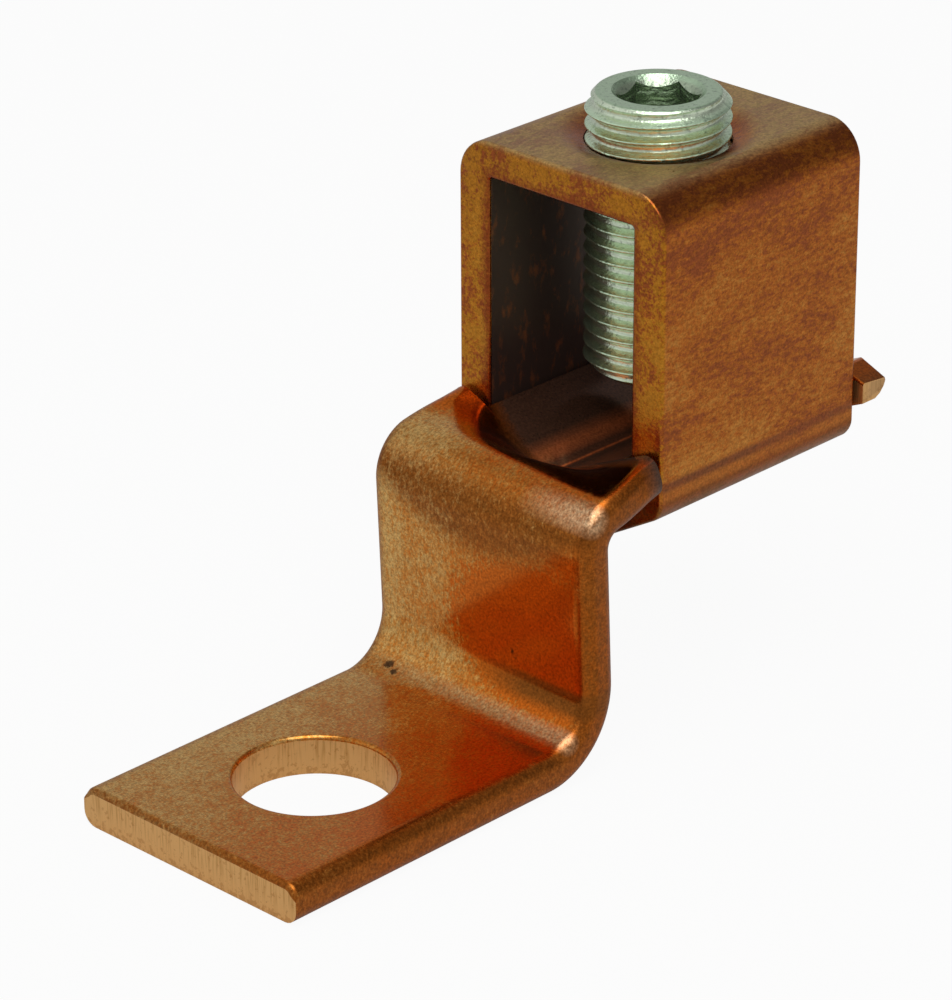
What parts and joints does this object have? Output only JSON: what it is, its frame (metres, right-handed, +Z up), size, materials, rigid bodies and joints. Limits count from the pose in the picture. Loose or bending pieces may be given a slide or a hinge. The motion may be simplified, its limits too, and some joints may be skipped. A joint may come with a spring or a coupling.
{
  "type": "offset terminal lug",
  "caption": "Offset copper terminal lug: a Z-bent tang with a stud hole carries a captive box collar whose socket set screw clamps a conductor into a V saddle.",
  "frame": {"origin": "centre of the stud hole on the tang's mounting face", "axes": "+Z up out of the mounting face along the stud, +X along the strip from the stud hole towards the collar, +Y across the strip"},
  "size_m": [0.055, 0.019, 0.0399],
  "materials": {
    "strip_copper": "oxidised rolled copper, satin",
    "collar_copper": "oxidised extruded copper, satin",
    "plated_steel": "bright plated steel"
  },
  "bodies": {
    "lug": {"offset_tang": "strip_copper", "collar": "collar_copper"},
    "screw": {"set_screw": "plated_steel"}
  },
  "joints": [
    {"name": "screw_travel", "type": "slide", "parent": "lug", "child": "screw", "axis": [0, 0, 1], "range_m": [-0.00255, 0.01385]}
  ]
}
